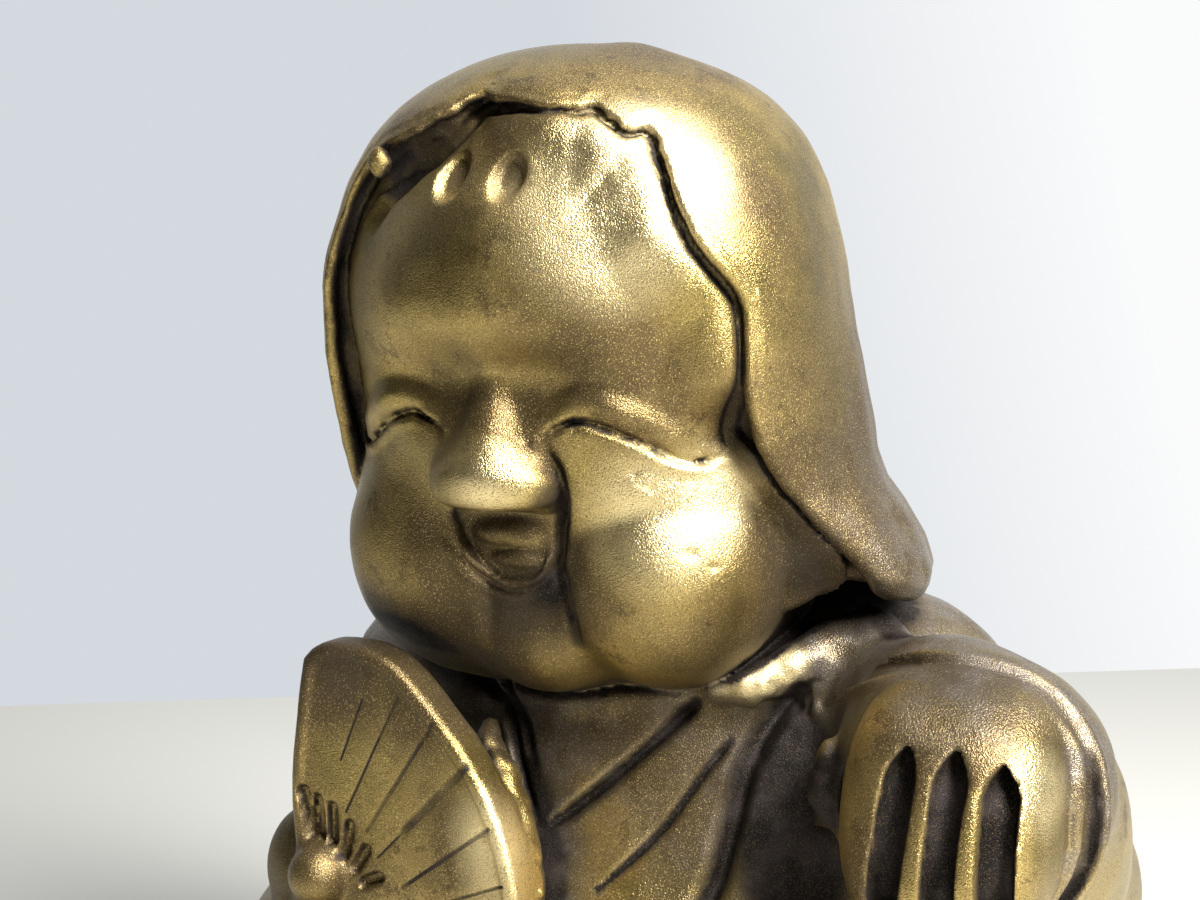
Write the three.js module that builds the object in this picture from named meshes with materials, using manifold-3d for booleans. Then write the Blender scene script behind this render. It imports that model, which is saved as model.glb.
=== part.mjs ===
// Otafuku figure: a kneeling, smiling figure in a robe, cast in one piece of brass, with a half open
// fan held before the right shoulder and the left hand raised in its sleeve.
// Millimetres, +Z up, the face towards -Y, the figure's own left at +X. The origin is the middle of
// the flat underside.
import * as THREE from "three";
import { mergeVertices } from "three/addons/utils/BufferGeometryUtils.js";
import Module from "manifold-3d";

// Driving dimensions. A side shape is given on the figure's left and mirrored to its right.
const FOOT = { halfWidth: 118, halfDepth: 90, height: 9, edge: 2.5, squareness: 2.4 };

const SKULL = { centre: [0, -18, 209], radii: [50, 50.5, 47] };
const MIDFACE = { centre: [0, -17, 182], radii: [48, 42, 34] };
const JAW = { centre: [0, -10, 155], radii: [49, 38, 34] };
const MUZZLE = { centre: [0, -37, 161], radii: [15, 17.5, 17] };
const CHEEK = { centre: [24.5, -27, 154.5], radii: [24.5, 27, 27] };
const CHIN = { centre: [0, -34.5, 142], radii: [16, 15, 16.5] };
const BROW_HOLLOW = { centre: [15, -70, 191], radii: [20, 13.5, 6.5] };
const NOSE = { from: [0, -56.5, 190], to: [0, -59.6, 173.4], start: 3.2, end: 8 };
const NOSE_WING = { centre: [8.4, -56.5, 171.8], radii: [7.4, 6.8, 5.8] };
const BROW_DOT = { centre: [6.4, -63.8, 231.2], radii: [3.8, 4, 5.4] };
const EYE = { places: [[12.5, 180], [19, 184.5], [27, 185], [35, 181], [41.5, 177]], lid: 1.5, slit: 1.3 };
const MOUTH = { top: 165.5, bottom: 149, halfWidth: 11.5, depth: 6, lip: 1.7 };
const TONGUE = { centre: [0, -46.5, 155.5], radii: [6.5, 5, 3.6] };

const HAIR = { centre: [0, -18, 206], radius: 57, rise: 53, blunt: 2.12, core: 22 };
// How far the hair's face stands out past the dome at the sides and back: height and added radius.
// It starts between these angles from straight ahead, further back on the figure's right.
const HAIR_FLARE = [
  [130, 9], [138, 12], [145, 14], [152, 15.2], [158, 13.2], [165, 9.3], [170, 5.6], [176, 3.4], [184, 2.2],
  [192, 0.6], [200, -1.2], [208, -2.5], [216, -3], [224, -2.7], [232, -1.5], [240, -0.2], [248, 0.3], [256, 0],
];
const FLARE_START = { left: [60, 100], right: [100, 145] };
// On the figure's right the hair draws in before the flare starts: height and added radius.
const HAIR_TUCK = [[140, -6], [165, -5], [180, -3.6], [195, -1.9], [209, -1.6], [225, -2.2], [240, -0.6], [248, 0]];
const TUCK_START = [20, 55];
// The hair's wavy edge: angle from straight ahead in degrees, and height.
const HAIR_EDGE = [
  [0, 246], [9, 246.8], [17, 245], [26, 244.6], [33, 243.8], [39.5, 240.8], [44.8, 233.3], [47, 225],
  [50, 218.6], [58.4, 209.3], [59.8, 201], [60, 193], [61.6, 185.7], [66.6, 175.8], [75.7, 165.4],
  [85, 154], [89.5, 148.3], [97, 146.5], [108, 145.5], [120, 144.5], [135, 141], [155, 137], [180, 135],
];
// How thick the hair's edge is: height and thickness.
const HAIR_THICKNESS = [[130, 20], [150, 18], [165, 12], [180, 6.5], [195, 4.5], [250, 4]];
const PARTING = { centre: [-0.5, -58, 251], radii: [4.5, 7, 3.2] };

// The robe's body: height, half width, front and back.
const ROBE = [
  [6, 104, -82, 82], [28, 102, -82, 81], [44, 95, -72, 79], [58, 87, -60, 77], [77, 83, -49, 74],
  [90, 81, -42, 71], [100, 80, -38.5, 67], [112, 78, -35, 63], [125, 73, -28.5, 58],
  [136, 64, -20, 53], [145, 50, -8, 44], [151, 30, 2, 30],
];
const SASH = { low: 57, high: 71, proud: 2.2 };
const KNEE = { centre: [44, -42, 30], radii: [54, 44, 28] };
const COLLAR_ROLL = { from: [28, -31, 125], to: [60, -8, 139], start: 2.5, end: 5.6 };

const LEFT_SLEEVE = [
  { from: [56, 22, 113], to: [83, 14, 84], start: 27, end: 26.5 },
  { from: [89, -2, 74], to: [94, -20, 36], start: 22, end: 20 },
];
// The left forearm stands free of the chest: its sleeve from the elbow to the wrist, and the cloth
// that hangs over it from the shoulder.
const FOREARM = [
  { from: [86, 8, 82], to: [89, -16, 104], start: 25.5, end: 25 },
  { from: [89, -16, 104], to: [89.5, -31, 115.5], start: 25, end: 27.3 },
  { from: [56, -6, 124], to: [79, -22, 127], start: 13, end: 15 },
];
const RIGHT_SLEEVE = [
  { from: [-52, 22, 106], to: [-68, 10, 78], start: 24, end: 22 },
  { from: [-69, 6, 74], to: [-48, -36, 72], start: 20, end: 17 },
  { from: [-71, 2, 62], to: [-83, -22, 34], start: 18, end: 19 },
];
const CUFF = { centre: [88.5, -42, 116], halfWidth: 25, halfHeight: 24, tube: 2, first: -50, last: 150 };
const CUFF_HOLLOW = { centre: [91.8, -51, 112.5], radii: [23.6, 12.5, 23] };
const HAND = { centre: [91.5, -46, 117.5], radii: [20.6, 20.8, 23.6] };
// The gaps between the fingers, as spindles: the middle of each, how far it leans over, and its
// share of the full length.
const FINGER_GAPS = [[85.4, 114.9, 5, 0.86], [95, 112.4, 2, 1], [104, 113.4, -0.5, 0.84]];
const FINGER_GAP = { radii: [3.2, 5, 19.5], front: -64.5 };
const THUMB = { centre: [68.5, -46, 121], radii: [4, 6, 7] };

const FAN = {
  hub: [-41, -53, 75],
  thickness: 9,
  rim: 2.5,
  outline: [
    [-1, 60], [3, 61.8], [12, 61.8], [20, 58.8], [29, 50.5], [37, 41.5], [44, 29.5], [48, 15], [47.5, 2],
    [42, -11], [30, -19], [12, -14], [-4, -8], [-6, 15], [-6.5, 32], [-5, 48], [-3, 58],
  ],
};
const PLEAT = { first: 8, last: 74, count: 6, start: 26, end: 46, width: 1, depth: 1 };
const SLOT = { first: 25, last: 97, count: 6, start: 19, end: 27, width: 2.4, depth: 1.6 };
const KNOB = { centre: [-40.5, -61, 87.5], radii: [6.6, 7.2, 6.8] };
const GRIP = [
  { centre: [-47, -49, 84], radii: [14.5, 11, 15] },
  { centre: [-45, -52, 68], radii: [15, 13, 12] },
];
const FAN_WEB = { places: [[-13, -45, 121], [-6, -47.5, 111], [0, -49, 98], [4, -51, 76]], radius: 5 };

// Carved lines of the robe, each by its x and height: collars, then the front overlap and hem.
const ROBE_LINES = [
  [[36, 127], [29, 120], [21, 112], [10, 102], [0, 96]],
  [[-33, 130], [-22, 125], [-14, 121], [-7, 109], [0, 96]],
  [[40, 121], [33, 110], [27, 99], [15, 87]],
  [[58, 124], [48, 117], [42, 110], [38, 93], [30, 78]],
  [[2, 56], [6, 40], [14, 24], [26, 12]],
];
const LINE = { radius: 1.3 };

const clamp = THREE.MathUtils.clamp;
const radians = THREE.MathUtils.degToRad;
const smoothstep = THREE.MathUtils.smoothstep;
const mirrored = (shape) => ({ ...shape, centre: [-shape.centre[0], shape.centre[1], shape.centre[2]] });

const wasm = await Module();
wasm.setup();

// The lower of two fields, with a soft join k wide.
function blend(a, b, k) {
  const h = Math.max(k - Math.abs(a - b), 0) / k;
  return Math.min(a, b) - h * h * k / 4;
}

const carve = (a, b, k) => -blend(-a, b, k);

// Distance to an ellipsoid, true near its surface.
function ellipsoid([x, y, z], { centre, radii }) {
  const p = [(x - centre[0]) / radii[0], (y - centre[1]) / radii[1], (z - centre[2]) / radii[2]];
  const inner = Math.hypot(...p);
  const slope = Math.hypot(p[0] / radii[0], p[1] / radii[1], p[2] / radii[2]);
  return slope === 0 ? -Math.min(...radii) : inner * (inner - 1) / slope;
}

// Distance to a round bar whose radius runs evenly from start to end.
function bar([x, y, z], { from, to, start, end }) {
  const axis = [to[0] - from[0], to[1] - from[1], to[2] - from[2]];
  const rel = [x - from[0], y - from[1], z - from[2]];
  const length = axis[0] ** 2 + axis[1] ** 2 + axis[2] ** 2;
  const t = clamp((rel[0] * axis[0] + rel[1] * axis[1] + rel[2] * axis[2]) / length, 0, 1);
  const gap = Math.hypot(rel[0] - t * axis[0], rel[1] - t * axis[1], rel[2] - t * axis[2]);
  return gap - (start + t * (end - start));
}

// A smooth curve through rows of numbers, read by the first number of each row.
function along(rows, at) {
  const last = rows.length - 1;
  const key = clamp(at, rows[0][0], rows[last][0]);
  let i = 0;
  while (i < last - 1 && rows[i + 1][0] < key) i += 1;
  const [a, b] = [rows[i], rows[i + 1]];
  const before = rows[Math.max(i - 1, 0)];
  const after = rows[Math.min(i + 2, last)];
  const span = b[0] - a[0];
  const t = (key - a[0]) / span;
  return a.slice(1).map((value, k) => {
    const next = b[k + 1];
    const slopeA = (next - before[k + 1]) / (b[0] - before[0]) * span;
    const slopeB = (after[k + 1] - value) / (after[0] - a[0]) * span;
    return THREE.MathUtils.lerp(value, next, t * t * (3 - 2 * t))
      + t * (1 - t) * ((1 - t) * slopeA - t * slopeB);
  });
}

// The bare head: skull, face, cheeks, chin and nose flowing into each other.
function head(p) {
  let d = blend(ellipsoid(p, SKULL), ellipsoid(p, MIDFACE), 10);
  d = blend(d, ellipsoid(p, JAW), 8);
  d = blend(d, ellipsoid(p, MUZZLE), 5);
  d = carve(d, ellipsoid(p, BROW_HOLLOW), 8);
  d = carve(d, ellipsoid(p, mirrored(BROW_HOLLOW)), 8);
  d = blend(d, ellipsoid(p, CHIN), 5);
  const cheeks = blend(ellipsoid(p, CHEEK), ellipsoid(p, mirrored(CHEEK)), 1.5);
  d = blend(d, cheeks, 3.5);
  const wings = blend(ellipsoid(p, NOSE_WING), ellipsoid(p, mirrored(NOSE_WING)), 3);
  return blend(d, blend(bar(p, NOSE), wings, 5), 4);
}

// How far the hair's face stands out past the plain dome.
function hairGrowth(x, y, z) {
  const angle = Math.abs(Math.atan2(x - HAIR.centre[0], HAIR.centre[1] - y)) * THREE.MathUtils.RAD2DEG;
  const flare = along(HAIR_FLARE, z)[0] * smoothstep(angle, ...(x > 0 ? FLARE_START.left : FLARE_START.right));
  if (x > 0) return flare;
  const tucked = smoothstep(angle, ...TUCK_START) * (1 - smoothstep(angle, ...FLARE_START.right));
  return flare + along(HAIR_TUCK, z)[0] * tucked;
}

// The hair's outer face: a blunt dome over an upright wall with a flaring foot.
function hair([x, y, z]) {
  const out = Math.hypot(x - HAIR.centre[0], y - HAIR.centre[1]);
  const up = Math.max(z - HAIR.centre[2], 0) * HAIR.radius / HAIR.rise;
  const dome = Math.hypot(out ** (HAIR.blunt / 2), up ** (HAIR.blunt / 2)) ** (2 / HAIR.blunt);
  return dome - HAIR.radius - hairGrowth(x, y, z);
}

// The robe's body with its sash, knees and sleeves.
function robe(p) {
  const [x, y, z] = p;
  const [half, front, back] = along(ROBE, z);
  const band = z > SASH.low && z < SASH.high ? SASH.proud : 0;
  const middle = (front + back) / 2;
  const depth = (back - front) / 2;
  const ring = Math.hypot(Math.abs(x / half) ** 1.15, Math.abs((y - middle) / depth) ** 1.15) ** (1 / 1.15);
  let d = (ring - 1) * Math.min(half, depth) - band;
  d = blend(d, ellipsoid(p, KNEE), 10);
  d = blend(d, ellipsoid(p, mirrored(KNEE)), 10);
  d = blend(d, bar(p, COLLAR_ROLL), 4);
  for (const part of LEFT_SLEEVE) d = blend(d, bar(p, part), 8);
  for (const part of RIGHT_SLEEVE) d = blend(d, bar(p, part), 8);
  return d;
}

// Walks from one point towards another until it meets the field.
function meet(field, from, to) {
  const start = new THREE.Vector3(...from);
  const way = new THREE.Vector3(...to).sub(start);
  const reach = way.length();
  way.normalize();
  let gone = 0;
  const at = () => start.clone().addScaledVector(way, gone).toArray();
  for (let gap = field(at()); gap > 0.01 && gone < reach - 1; gap = field(at())) {
    gone += Math.max(gap * 0.6, 0.05);
  }
  gone = Math.min(gone, reach - 1);
  return at();
}

// The point of a field's surface straight behind a place seen from the front.
const front = (field, [x, z]) => meet(field, [x, -140, z], [x, 40, z]);

// A geometry as a solid that can be joined and cut, with its faces out.
function solid(geometry) {
  const bare = new THREE.BufferGeometry();
  bare.setAttribute("position", geometry.getAttribute("position"));
  if (geometry.index) bare.setIndex(geometry.index);
  const merged = mergeVertices(bare, 1e-4);
  const corners = merged.index.array;
  const kept = [];
  for (let i = 0; i < corners.length; i += 3) {
    const [a, b, c] = [corners[i], corners[i + 1], corners[i + 2]];
    if (a !== b && b !== c && c !== a) kept.push(a, b, c);
  }
  const make = (faces) => new wasm.Manifold(new wasm.Mesh({
    numProp: 3,
    vertProperties: new Float32Array(merged.getAttribute("position").array),
    triVerts: new Uint32Array(faces),
  }));
  const made = make(kept);
  return made.volume() > 0 ? made : make(kept.reverse());
}

function ball({ centre, radii }, columns = 10, rows = 6) {
  return solid(new THREE.SphereGeometry(1, columns, rows).scale(...radii).translate(...centre));
}

// A round rod along points, with pointed or blunt ends.
function rod(points, radius, sides, steps) {
  const section = new THREE.Shape();
  for (let i = 0; i < sides; i += 1) {
    const turn = 2 * Math.PI * i / sides;
    const move = i === 0 ? "moveTo" : "lineTo";
    section[move](radius * Math.cos(turn), radius * Math.sin(turn));
  }
  section.closePath();
  const path = new THREE.CatmullRomCurve3(points.map((p) => new THREE.Vector3(...p)));
  return solid(new THREE.ExtrudeGeometry(section, { steps, extrudePath: path, bevelEnabled: false }));
}

// A round limb: a bar with round ends, turned about its own axis.
function limb({ from, to, start, end }, columns = 15, arc = 3) {
  const [foot, tip] = [new THREE.Vector3(...from), new THREE.Vector3(...to)];
  const way = tip.clone().sub(foot);
  const profile = [];
  for (let i = 0; i <= arc; i += 1) {
    const turn = Math.PI / 2 * (i / arc - 1);
    profile.push(new THREE.Vector2(start * Math.cos(turn), start * Math.sin(turn)));
  }
  for (let i = 0; i <= arc; i += 1) {
    const turn = Math.PI / 2 * i / arc;
    profile.push(new THREE.Vector2(end * Math.cos(turn), way.length() + end * Math.sin(turn)));
  }
  profile[0].x = 0;
  profile[profile.length - 1].x = 0;
  const geometry = new THREE.LatheGeometry(profile, columns);
  const upright = new THREE.Vector3(0, 1, 0);
  geometry.applyQuaternion(new THREE.Quaternion().setFromUnitVectors(upright, way.normalize()));
  return solid(geometry.translate(...from));
}

// Columns crowd towards the front, where the carving is.
function crowded(share) {
  const side = 2 * (share < 0.5 ? share : share - 1);
  return Math.sign(side) * (0.6 * Math.abs(side) + 0.4 * Math.abs(side) ** 3) / 2;
}

function bareHead() {
  const [columns, rows] = [44, 36];
  const centre = [0, -18, 180];
  const geometry = new THREE.SphereGeometry(1, columns, rows);
  const position = geometry.getAttribute("position");
  const uv = geometry.getAttribute("uv");
  for (let i = 0; i < position.count; i += 1) {
    const polar = Math.PI * (1 - uv.getY(i));
    const around = 2 * Math.PI * crowded(Math.round(uv.getX(i) * columns) / columns);
    const flat = 110 * Math.sin(polar);
    const far = [flat * Math.sin(around), centre[1] - flat * Math.cos(around), centre[2] + 110 * Math.cos(polar)];
    position.setXYZ(i, ...meet(head, far, centre));
  }
  return solid(geometry);
}

// The hair as one thick shell. Its grid runs from a pole at the back to the edge, round the edge's
// thickness and on to a point inside the head.
function hairShell() {
  const [columns, outer, inner] = [42, 9, 2];
  const edge = [];
  for (let side = 1; side >= -1; side -= 2) {
    const rows = side === 1 ? HAIR_EDGE : HAIR_EDGE.slice(1, -1).reverse();
    for (const [angle, height] of rows) {
      const [across, ahead] = [Math.sin(radians(side * angle)), -Math.cos(radians(angle))];
      const up = Math.max(height - HAIR.centre[2], 0) / HAIR.rise;
      const wall = HAIR.radius * (1 - up ** HAIR.blunt) ** (1 / HAIR.blunt)
        + hairGrowth(across, HAIR.centre[1] + ahead, height);
      edge.push(new THREE.Vector3(wall * across, HAIR.centre[1] + wall * ahead, height));
    }
  }
  const places = new THREE.CatmullRomCurve3(edge, true).getSpacedPoints(columns);
  const centre = new THREE.Vector3(...HAIR.centre);
  const pole = new THREE.Vector3(0, 1, 0);
  const geometry = new THREE.SphereGeometry(1, columns, outer + 1 + inner);
  const position = geometry.getAttribute("position");
  const uv = geometry.getAttribute("uv");
  for (let i = 0; i < position.count; i += 1) {
    const column = (Math.round(uv.getX(i) * columns) + columns) % columns;
    const row = Math.round((1 - uv.getY(i)) * (outer + 1 + inner));
    const way = places[column].clone().sub(centre).normalize();
    const spread = pole.angleTo(way);
    const spin = new THREE.Vector3().crossVectors(pole, way).normalize();
    const share = row <= outer ? row / outer : 1 - 0.04 * (row - outer - 1);
    const direction = pole.clone().applyAxisAngle(spin, spread * share);
    const far = centre.clone().addScaledVector(direction, 125);
    const skin = new THREE.Vector3(...meet(hair, far.toArray(), HAIR.centre));
    if (row > outer) {
      const inwards = row - outer - 1;
      const thickness = along(HAIR_THICKNESS, skin.z)[0] + inwards * HAIR.core / 2;
      const reach = skin.distanceTo(centre);
      skin.addScaledVector(direction, -Math.min(thickness, 0.7 * reach));
    }
    if (row === outer + 1 + inner) skin.copy(centre);
    position.setXYZ(i, ...skin.toArray());
  }
  return solid(geometry);
}

// A robe wrapped level by level, so that its rows can follow the sash.
function robeSolid() {
  const levels = [
    151, 146, 140, 133, 125, 117, 109, 101, 93, 85, 78, SASH.high + 0.2, SASH.high - 0.2,
    SASH.low + 0.2, SASH.low - 0.2, 50, 42, 33, 23, 14, 6,
  ];
  const columns = 37;
  const geometry = new THREE.CylinderGeometry(1, 1, levels.length - 1, columns, levels.length - 1);
  const position = geometry.getAttribute("position");
  for (let i = 0; i < position.count; i += 1) {
    const level = levels[Math.round((levels.length - 1) / 2 - position.getY(i))];
    const [, near, back] = along(ROBE, level);
    const centre = [0, (near + back) / 2, level];
    const out = Math.hypot(position.getX(i), position.getZ(i));
    const share = (Math.atan2(position.getX(i), position.getZ(i)) / (2 * Math.PI) + 1) % 1;
    const around = 2 * Math.PI * crowded(Math.round(share * columns) % columns / columns);
    const far = [170 * Math.sin(around), centre[1] - 170 * Math.cos(around), level];
    position.setXYZ(i, ...(out < 0.5 ? centre : meet(robe, far, centre)));
  }
  return solid(geometry);
}

function foot() {
  const { halfWidth, halfDepth, height, edge, squareness } = FOOT;
  const outline = new THREE.Shape();
  const sides = 36;
  for (let i = 0; i < sides; i += 1) {
    const turn = 2 * Math.PI * i / sides;
    const round = (value) => Math.sign(value) * Math.abs(value) ** (2 / squareness);
    const move = i === 0 ? "moveTo" : "lineTo";
    outline[move]((halfWidth - edge) * round(Math.cos(turn)), (halfDepth - edge) * round(Math.sin(turn)));
  }
  outline.closePath();
  const geometry = new THREE.ExtrudeGeometry(outline, {
    depth: height - edge, bevelThickness: edge, bevelSize: edge, bevelSegments: 2,
  });
  // Only the upper edge is rounded: the lower one is pressed flat onto the ground.
  const position = geometry.getAttribute("position");
  for (let i = 0; i < position.count; i += 1) {
    if (position.getZ(i) < 0) position.setZ(i, 0);
  }
  return solid(geometry);
}

// Closed, smiling eyes: a raised lid over a narrow slit.
function eyes(face) {
  let made = face;
  for (const side of [1, -1]) {
    const lid = EYE.places.map(([x, z]) => front(head, [side * x, z + EYE.lid]));
    const slit = EYE.places.map(([x, z]) => front(head, [side * x, z - EYE.lid * 0.6]));
    made = made.add(rod(lid, EYE.lid, 5, 8)).subtract(rod(slit, EYE.slit, 4, 8));
  }
  return made;
}

function mouth(face) {
  const { top, bottom, halfWidth, depth, lip } = MOUTH;
  const middle = (top + bottom) / 2;
  const cut = new THREE.Shape();
  cut.moveTo(-halfWidth, top);
  cut.quadraticCurveTo(0, top - 2.5, halfWidth, top);
  cut.bezierCurveTo(halfWidth, middle, 6, bottom, 0, bottom);
  cut.bezierCurveTo(-6, bottom, -halfWidth, middle, -halfWidth, top);
  const floor = front(head, [0, middle])[1] + depth;
  const opening = new THREE.ExtrudeGeometry(cut, { depth: 30, bevelEnabled: false, curveSegments: 5 });
  opening.rotateX(Math.PI / 2).translate(0, floor, 0);
  const lowerLip = [[-halfWidth, top - 3], [-8, bottom + 3.5], [0, bottom - 1], [8, bottom + 3.5], [halfWidth, top - 3]];
  const path = lowerLip.map((place) => front(head, place));
  return face.add(rod(path, lip, 6, 10)).subtract(solid(opening)).add(ball(TONGUE, 8, 6));
}

function faceCarving(face) {
  let made = mouth(eyes(face));
  for (const dot of [BROW_DOT, mirrored(BROW_DOT)]) made = made.subtract(ball(dot));
  return made;
}

// A cuff rim round the hand, the hand with its finger gaps, and the thumb beside it.
function raisedHand() {
  const { centre, halfWidth, halfHeight, tube, first, last } = CUFF;
  const rim = [];
  for (let i = 0; i <= 12; i += 1) {
    const turn = radians(first + (last - first) * i / 12);
    rim.push([centre[0] + halfWidth * Math.cos(turn), centre[1], centre[2] + halfHeight * Math.sin(turn)]);
  }
  let made = ball(HAND, 18, 12).add(ball(THUMB, 8, 6));
  for (const [x, z, lean, share] of FINGER_GAPS) {
    const { radii, front: y } = FINGER_GAP;
    const spindle = new THREE.SphereGeometry(1, 8, 10).rotateX(Math.PI / 2);
    spindle.scale(radii[0], radii[1], share * radii[2]).rotateY(radians(lean));
    made = made.subtract(solid(spindle.translate(x, y, z)));
  }
  return made.add(rod(rim, tube, 6, 20));
}

// The fan: a thick leaf with a rounded rim, carved pleats, rib slots, and the knob at its hub.
function fan() {
  const { hub, thickness, rim, outline } = FAN;
  const curve = new THREE.CatmullRomCurve3(outline.map(([x, z]) => new THREE.Vector3(x, z, 0)), true);
  const leaf = new THREE.Shape(curve.getPoints(30).slice(1).map((p) => new THREE.Vector2(p.x, p.y)));
  const plate = new THREE.ExtrudeGeometry(leaf, {
    depth: thickness - rim, bevelThickness: rim, bevelSize: rim, bevelOffset: -rim, bevelSegments: 2,
  });
  const stand = (geometry) => solid(geometry.rotateX(Math.PI / 2).translate(...hub));
  let made = stand(plate);
  for (const row of [PLEAT, SLOT]) {
    for (let i = 0; i < row.count; i += 1) {
      const angle = radians(row.first + (row.last - row.first) * i / (row.count - 1));
      const cut = new THREE.BoxGeometry(row.end - row.start, row.width, 2 * row.depth);
      cut.translate((row.start + row.end) / 2, 0, thickness).rotateZ(angle);
      made = made.subtract(stand(cut));
    }
  }
  return made.add(ball(KNOB, 10, 8));
}

function meshOf(manifold, name, material) {
  const data = manifold.getMesh();
  const geometry = new THREE.BufferGeometry();
  geometry.setAttribute("position", new THREE.BufferAttribute(new Float32Array(data.vertProperties), 3));
  geometry.setIndex(new THREE.BufferAttribute(new Uint32Array(data.triVerts), 1));
  const mesh = new THREE.Mesh(geometry, material);
  mesh.name = name;
  return mesh;
}

const skullAndHair = faceCarving(bareHead()).add(hairShell().subtract(ball(PARTING)));
let figure = robeSolid();
for (const part of FOREARM) figure = figure.add(limb(part));
figure = figure.subtract(ball(CUFF_HOLLOW, 18, 8));
for (const places of ROBE_LINES) {
  const path = places.map((place) => front(robe, place));
  figure = figure.subtract(rod(path, LINE.radius, 3, 6));
}
for (const lump of GRIP) figure = figure.add(ball(lump));
const web = rod(FAN_WEB.places, FAN_WEB.radius, 8, 5);
figure = figure.add(foot()).add(skullAndHair).add(raisedHand()).add(web).add(fan());

const brass = new THREE.MeshStandardMaterial({ color: 0x8a6f35, roughness: 0.42, metalness: 1 });
const object = new THREE.Group();
object.add(meshOf(figure, "otafuku_figure", brass));

export default object;
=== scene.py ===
import math

import bpy
import numpy as np
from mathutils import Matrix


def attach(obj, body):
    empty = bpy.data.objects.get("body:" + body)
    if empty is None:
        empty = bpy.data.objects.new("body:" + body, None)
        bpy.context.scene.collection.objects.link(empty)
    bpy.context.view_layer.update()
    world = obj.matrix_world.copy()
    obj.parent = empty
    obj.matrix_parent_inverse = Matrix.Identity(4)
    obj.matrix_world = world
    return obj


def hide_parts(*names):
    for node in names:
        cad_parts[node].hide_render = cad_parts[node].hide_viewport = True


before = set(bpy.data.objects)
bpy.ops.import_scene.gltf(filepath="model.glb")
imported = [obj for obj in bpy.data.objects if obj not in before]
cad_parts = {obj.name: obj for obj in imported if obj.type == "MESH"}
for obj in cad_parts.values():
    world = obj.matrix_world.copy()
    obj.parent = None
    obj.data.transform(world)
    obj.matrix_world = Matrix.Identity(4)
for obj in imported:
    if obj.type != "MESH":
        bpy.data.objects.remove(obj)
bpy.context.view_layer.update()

import openvdb
from mathutils import Vector

# Sizes are in millimetres until the casting is made, then metres. A form is a function that gives the
# distance of points (x, y, z) to its skin, less than 0 inside the metal.

# The head: a round smiling face with full cheeks, a broad nose cut flat below, an open mouth and
# narrow smiling eyes. It is cast in one with the figure, and its high places are rubbed bright, with
# painted highlights laid on them.


def joined(a, b, width):
    """The nearer of two skins, with a fillet."""
    near = np.maximum(width - np.abs(a - b), 0) / width
    return np.minimum(a, b) - near * near * width / 4


def cut(a, b, width):
    """One form with another taken out of it, with a rounded brink."""
    return -joined(-a, b, width)


def egg(p, centre, radii):
    """An ellipsoid, whose distances are true near its skin."""
    q = [(p[k] - centre[k]) / radii[k] for k in range(3)]
    inner = np.sqrt(q[0] ** 2 + q[1] ** 2 + q[2] ** 2 + 1e-9)
    slope = np.sqrt(sum((q[k] / radii[k]) ** 2 for k in range(3)) + 1e-12)
    return inner * (inner - 1) / slope


def bar(p, start, end, radius, end_radius):
    """A round bar whose radius runs evenly from its start to its end."""
    axis = [end[k] - start[k] for k in range(3)]
    rel = [p[k] - start[k] for k in range(3)]
    t = sum(rel[k] * axis[k] for k in range(3)) / sum(a * a for a in axis)
    t = np.clip(t, 0, 1)
    gap = np.sqrt(sum((rel[k] - t * axis[k]) ** 2 for k in range(3)))
    return gap - (radius + t * (end_radius - radius))


def spot(p, place, reach):
    """1 at a place, fading to 0 past a reach."""
    return np.exp(-sum((a - b) ** 2 for a, b in zip(p, place)) / reach ** 2)


def chain_of(p, beads):
    """A round bar bent through beads, each a place and a radius."""
    d = np.full_like(p[0], 1e3)
    for (start, radius), (end, end_radius) in zip(beads, beads[1:]):
        d = np.minimum(d, bar(p, start, end, radius, end_radius))
    return d


def eased(value, low, high):
    """0 at low and 1 at high, with a smooth way between. Low may be the larger number."""
    t = np.clip((value - low) / (high - low), 0, 1)
    return t * t * (3 - 2 * t)


def drawn(places, steps=5):
    """A smooth line through a few places."""
    rows = np.array(places, float)
    padded = np.vstack([2 * rows[0] - rows[1], rows, 2 * rows[-1] - rows[-2]])
    line = []
    for i in range(len(rows) - 1):
        a, b, c, d = padded[i : i + 4]
        bend = 2 * a - 5 * b + 4 * c - d
        turn = 3 * b - a - 3 * c + d
        for t in np.arange(steps) / steps:
            line.append(0.5 * (2 * b + (c - a) * t + bend * t * t + turn * t ** 3))
    return np.vstack([line, rows[-1]])


def stroke(u, v, line, width, fade=0.0):
    """How strongly a drawn line is felt: 1 on it, 0 from its width outwards, and weaker at its ends."""
    felt = np.zeros_like(u)
    near = (u > line[:, 0].min() - width) & (u < line[:, 0].max() + width)
    near &= (v > line[:, 1].min() - width) & (v < line[:, 1].max() + width)
    if not near.any():
        return felt
    un, vn = u[near], v[near]
    best = np.zeros_like(un)
    last = len(line) - 1
    for i in range(last):
        du, dv = line[i + 1] - line[i]
        t = np.clip(((un - line[i, 0]) * du + (vn - line[i, 1]) * dv) / (du * du + dv * dv), 0, 1)
        gap = np.hypot(un - line[i, 0] - t * du, vn - line[i, 1] - t * dv)
        along = (i + t) / last
        ends = np.clip(np.minimum(along, 1 - along) / fade, 0, 1) if fade else 1.0
        best = np.maximum(best, np.maximum(1 - gap / width, 0) * (0.25 + 0.75 * ends))
    felt[near] = best
    return felt


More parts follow.
